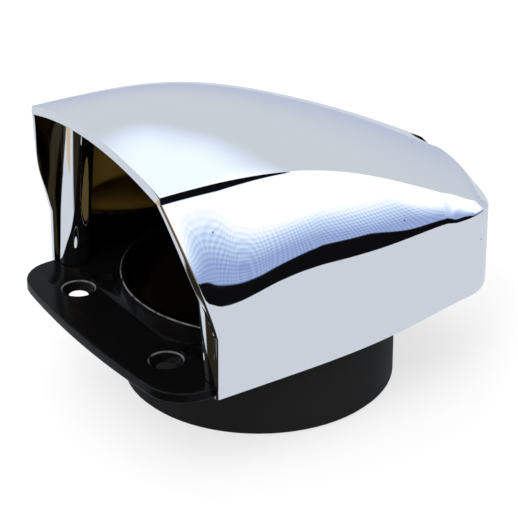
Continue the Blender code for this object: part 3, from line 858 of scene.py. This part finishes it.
def edge_highlight_mask(tree, place, parts):
    """A painted highlight on the sloping edges of the moulding, in patches, but not on the cones of its
    screw holes.
    """
    facing = add_node(tree, "ShaderNodeNewGeometry").outputs["True Normal"]
    up = split(tree, facing)["Z"]
    side = calculate(tree, "ABSOLUTE", parts["X"])
    screw = (DECK_SCREW_HALF_SPACING, -DECK_SCREW_REACH - PART_CENTRE_Y)
    clear = fade(tree, distance_from(tree, side, parts["Y"], screw), *COUNTERSINK_EDGE)
    patches = fade(tree, noise(tree, place, *MOULDING_HIGHLIGHT_NOISE), *EDGE_HIGHLIGHT_PATCHES)
    return multiply(tree, fade(tree, up, *EDGE_HIGHLIGHT_START), fade(tree, up, *EDGE_HIGHLIGHT_END), clear, patches)


def black_moulding():
    """Satin black moulded plastic with a very fine grain, lighter and matt outside its collar, with a
    painted highlight on its sloping edges.
    """
    made, tree, shader = new_material(
        "black_moulding", MOULDING_COLOUR, MOULDING_ROUGHNESS, 0.0, MOULDING_SPECULAR
    )
    place = object_place(tree)
    parts = split(tree, place)
    patches = noise(tree, place, *MOULDING_PATCHES)
    collar = multiply(tree, collar_ring(tree, place, *COLLAR_SKIN), fade(tree, parts["Z"], *COLLAR_TOP))
    polish = between(tree, patches, *DECK_ROUGHNESS)
    matt = between(tree, patches, *COLLAR_ROUGHNESS)
    rough = add_node(tree, "ShaderNodeMix", {"data_type": "FLOAT"}, i0=collar, i2=polish, i3=matt)
    tree.links.new(rough.outputs[0], shader.inputs["Roughness"])
    deck = mix_colours(tree, patches, *DECK_TONES)
    tone = mix_colours(tree, collar, deck, mix_colours(tree, patches, *COLLAR_TONES))
    # Painted highlight on the sloping edges
    tone = mix_colours(tree, edge_highlight_mask(tree, place, parts), tone, EDGE_HIGHLIGHT_TONE)
    tree.links.new(tone, shader.inputs["Base Color"])
    add_grain(tree, shader, place, *MOULDING_GRAIN)
    return made


def screw_steel():
    """Plain turned steel with a fine grain."""
    made, tree, shader = new_material("screw_steel", STEEL_COLOUR, STEEL_ROUGHNESS, 1.0)
    turned = add_grain(tree, shader, object_place(tree), *STEEL_GRAIN)
    tree.links.new(between(tree, turned, *STEEL_POLISH), shader.inputs["Roughness"])
    tree.links.new(mix_colours(tree, turned, *STEEL_TONES), shader.inputs["Base Color"])
    return made


def mirrored_wall(tree, height, turn):
    """Left and behind: a pale grey wall, then a white ceiling."""
    wall = mix_colours(tree, fade(tree, height, *WALL_SPAN), WALL_LOW, WALL_HIGH)
    lift = multiply(tree, fade(tree, turn, *WALL_CORNER_TURN), WALL_CORNER_LIFT)
    raised = calculate(tree, "ADD", height, lift)
    edge = mix_colours(tree, fade(tree, raised, *WALL_EDGE_SPAN), wall, WALL_EDGE)
    return mix_colours(tree, fade(tree, raised, *SKY_SPAN), edge, SKY)


def woven_cloth(tree, height, turn):
    """Pale cloth in a diamond weave that gives way to white above."""
    across = calculate(tree, "DIVIDE", turn, THREAD_TURN)
    up = calculate(tree, "DIVIDE", height, THREAD_HEIGHT)
    waves = []
    for operation in ("ADD", "SUBTRACT"):
        slanted = multiply(tree, calculate(tree, operation, across, up), pi)
        waves.append(calculate(tree, "SINE", slanted))
    weave = fade(tree, multiply(tree, *waves), -1.0, 1.0)
    lifted = height
    for span, lift in CLOTH_LIFTS:
        lifted = calculate(tree, "ADD", lifted, multiply(tree, fade(tree, turn, *span), lift))
    sheer = mix_colours(tree, fade(tree, lifted, *CLOTH_SPAN), CLOTH_LOW, CLOTH_HIGH)
    threads = mix_colours(tree, weave, THREAD_DARK, THREAD_LIGHT)
    cloth = mix_colours(tree, 1.0, sheer, threads, "MULTIPLY")
    return mix_colours(tree, fade(tree, lifted, *CLOTH_TOP), cloth, ABOVE_CLOTH)


def dark_gap_mask(tree, height, turn):
    """The dark gap between the table and the cloth."""
    rise = multiply(tree, fade(tree, turn, *DARK_RISE_TURN), DARK_RISE)
    dip = multiply(tree, fade(tree, turn, *DARK_DIP_START), fade(tree, turn, *DARK_DIP_END), DARK_DIP)
    lowered = calculate(tree, "ADD", calculate(tree, "SUBTRACT", height, rise), dip)
    sides = multiply(tree, fade(tree, turn, *DARK_START), fade(tree, turn, *DARK_END))
    return multiply(tree, fade(tree, lowered, *DARK_TOP), sides)


def mirrored_room(tree, height, turn):
    """Towards the mouth: a dim warm room, pale at its left, with a white ceiling."""
    room = mix_colours(tree, fade(tree, height, *ROOM_SPAN), ROOM_LOW, ROOM_HIGH)
    room = mix_colours(tree, fade(tree, turn, *ROOM_PALE_TURN), room, ROOM_PALE)
    return mix_colours(tree, fade(tree, height, *ROOM_TOP), room, WHITE)


def add_world():
    """A white studio, with even light. Mirror surfaces also see walls, cloth and a dim room."""
    world = bpy.data.worlds.new("studio")
    bpy.context.scene.world = world
    world.use_nodes = True
    tree = world.node_tree
    parts = split(tree, add_node(tree, "ShaderNodeTexCoord").outputs["Generated"])
    height = calculate(tree, "DEGREES", calculate(tree, "ARCSINE", parts["Z"]))
    turn = calculate(tree, "DEGREES", calculate(tree, "ARCTAN2", parts["Y"], parts["X"]))

    wall = mirrored_wall(tree, height, turn)
    cloth = woven_cloth(tree, height, turn)
    right = mix_colours(tree, dark_gap_mask(tree, height, turn), cloth, DARK_COLOUR)
    sides = mix_colours(tree, fade(tree, turn, *WALL_TURN), right, wall)
    is_front = multiply(tree, fade(tree, turn, *ROOM_START), fade(tree, turn, *ROOM_END))
    sides = mix_colours(tree, is_front, sides, mirrored_room(tree, height, turn))
    mirrored = mix_colours(tree, fade(tree, turn, *BEHIND_TURN), sides, wall)

    rays = add_node(tree, "ShaderNodeLightPath").outputs
    seen = mix_colours(tree, rays["Is Glossy Ray"], WHITE, mirrored)
    lit = mix_colours(tree, rays["Is Diffuse Ray"], seen, SOFT_LIGHT)
    tree.links.new(lit, tree.nodes["Background"].inputs["Color"])


def glowing_paint(name, colour):
    """Matt paint whose glow shows at full strength, with the socket of each."""
    made, tree, shader = new_material(name, colour, PAINT_ROUGHNESS, 0.0, 0.0)
    shader.inputs["Emission Strength"].default_value = 1.0
    return made, tree, (shader.inputs["Base Color"], shader.inputs["Emission Color"])


def floor_paint():
    """Plain pale paint that shows as white round the part and keeps its soft shadow, with painted shade on
    the floor inside the collar's ring.
    """
    made, tree, sockets = glowing_paint("floor_paint", FLOOR_COLOUR)
    place = object_place(tree)
    rays = add_node(tree, "ShaderNodeLightPath").outputs
    seen = calculate(tree, "MAXIMUM", rays["Is Camera Ray"], rays["Is Transmission Ray"])
    flat = add_node(tree, "ShaderNodeVectorMath", {"operation": "LENGTH"}, i0=place).outputs["Value"]
    far = fade(tree, flat, *FLOOR_FADE)
    open_floor = collar_ring(tree, place, *COLLAR_RING)
    unseen = (FLOOR_COLOUR, BLACK)
    painted_collar_shade = (COLLAR_SHADE_PAINT, BLACK)
    near = (FLOOR_PAINT, FLOOR_GLOW)
    beyond = (BLACK, WHITE)
    for index, socket in enumerate(sockets):
        # Painted shade: dark floor without glow inside the collar's ring
        ringed = mix_colours(tree, open_floor, painted_collar_shade[index], near[index])
        shown = mix_colours(tree, far, ringed, beyond[index])
        tree.links.new(mix_colours(tree, seen, unseen[index], shown), socket)
    return made


def table_paint():
    """What the plating mirrors below it: pale lavender-grey, warm wood in front of the mouth, and painted
    shade with a dim warm glow inside the collar's ring.
    """
    made, tree, sockets = glowing_paint("table_paint", TABLE_COLOUR)
    place = object_place(tree)
    parts = split(tree, place)
    slant = calculate(tree, "SUBTRACT", parts["Y"], multiply(tree, parts["X"], WOOD_SLOPE))
    wood_sides = multiply(tree, fade(tree, parts["X"], *WOOD_LEFT), fade(tree, parts["X"], *WOOD_RIGHT))
    wood = multiply(tree, fade(tree, slant, *WOOD_FRONT), wood_sides)
    shade = multiply(tree, fade(tree, parts["X"], *SHADE_LEFT), fade(tree, parts["Y"], *SHADE_FRONT))
    # Painted shade under the collar: dark, with a dim warm glow, inside its ring
    inside = collar_ring(tree, place, *reversed(COLLAR_RING))
    for index, socket in enumerate(sockets):
        tone = mix_colours(tree, wood, TABLE_FINISH[index], WOOD_FINISH[index])
        tone = mix_colours(tree, shade, tone, SHADE_FINISH[index])
        tree.links.new(mix_colours(tree, inside, tone, COLLAR_SHADE_FINISH[index]), socket)
    return made


def add_disc(name, radius, made):
    bpy.ops.mesh.primitive_circle_add(vertices=FLOOR_STEPS, radius=radius, fill_type="NGON")
    disc = bpy.context.object
    disc.name = name
    disc.data.materials.append(made)
    return disc


def add_floor():
    """The floor that the camera sees, and in its place the smaller table that only mirrors see."""
    floor = add_disc("floor", FLOOR_RADIUS, floor_paint())
    floor.visible_glossy = False
    table = add_disc("mirrored_table", TABLE_RADIUS, table_paint())
    table.visible_camera = False
    table.visible_diffuse = False
    table.visible_transmission = False
    table.visible_shadow = False


def add_lamp(name, place, power):
    """A large soft lamp aimed at the part, which the plating doesn't mirror."""
    data = bpy.data.lights.new(name, "AREA")
    data.size = LAMP_SIZE
    data.energy = power
    lamp = bpy.data.objects.new(name, data)
    lamp.location = place
    lamp.rotation_euler = (Vector(LAMP_AIM) - Vector(place)).to_track_quat("-Z", "Y").to_euler()
    lamp.visible_glossy = False
    bpy.context.scene.collection.objects.link(lamp)


def add_camera():
    data = bpy.data.cameras.new("camera")
    data.lens = CAMERA_LENS
    data.clip_start = CAMERA_CLIP_START
    camera = bpy.data.objects.new("camera", data)
    camera.location = CAMERA_PLACE
    camera.rotation_euler = (radians(90) - CAMERA_ELEVATION, 0, CAMERA_AZIMUTH)
    bpy.context.scene.collection.objects.link(camera)
    bpy.context.scene.camera = camera


GRAIN = grain_group()
RING = ring_group()
CHROME = plated_chrome("chrome_plate", PLATE_COLOUR, PLATE_ROUGHNESS, PLATE_WAVE_DEPTH, PLATE_SPECK_SHARE)
INSIDE_CHROME = plated_chrome(
    "inside_plate", INSIDE_COLOUR, INSIDE_ROUGHNESS, INSIDE_WAVE_DEPTH, INSIDE_SPECK_SHARE, CEILING_REFLECTION_TINT
)

bpy.context.scene.view_settings.view_transform = "Standard"
add_camera()
add_floor()
add_world()
for lamp, (place, power) in LAMPS.items():
    add_lamp(lamp, place, power)
build_hood()
refine_node("moulded_base", "black_base", black_moulding())
STEEL = screw_steel()
for side in ("left", "right"):
    refine_node(f"hood_screw_{side}", f"steel_screw_{side}", STEEL)
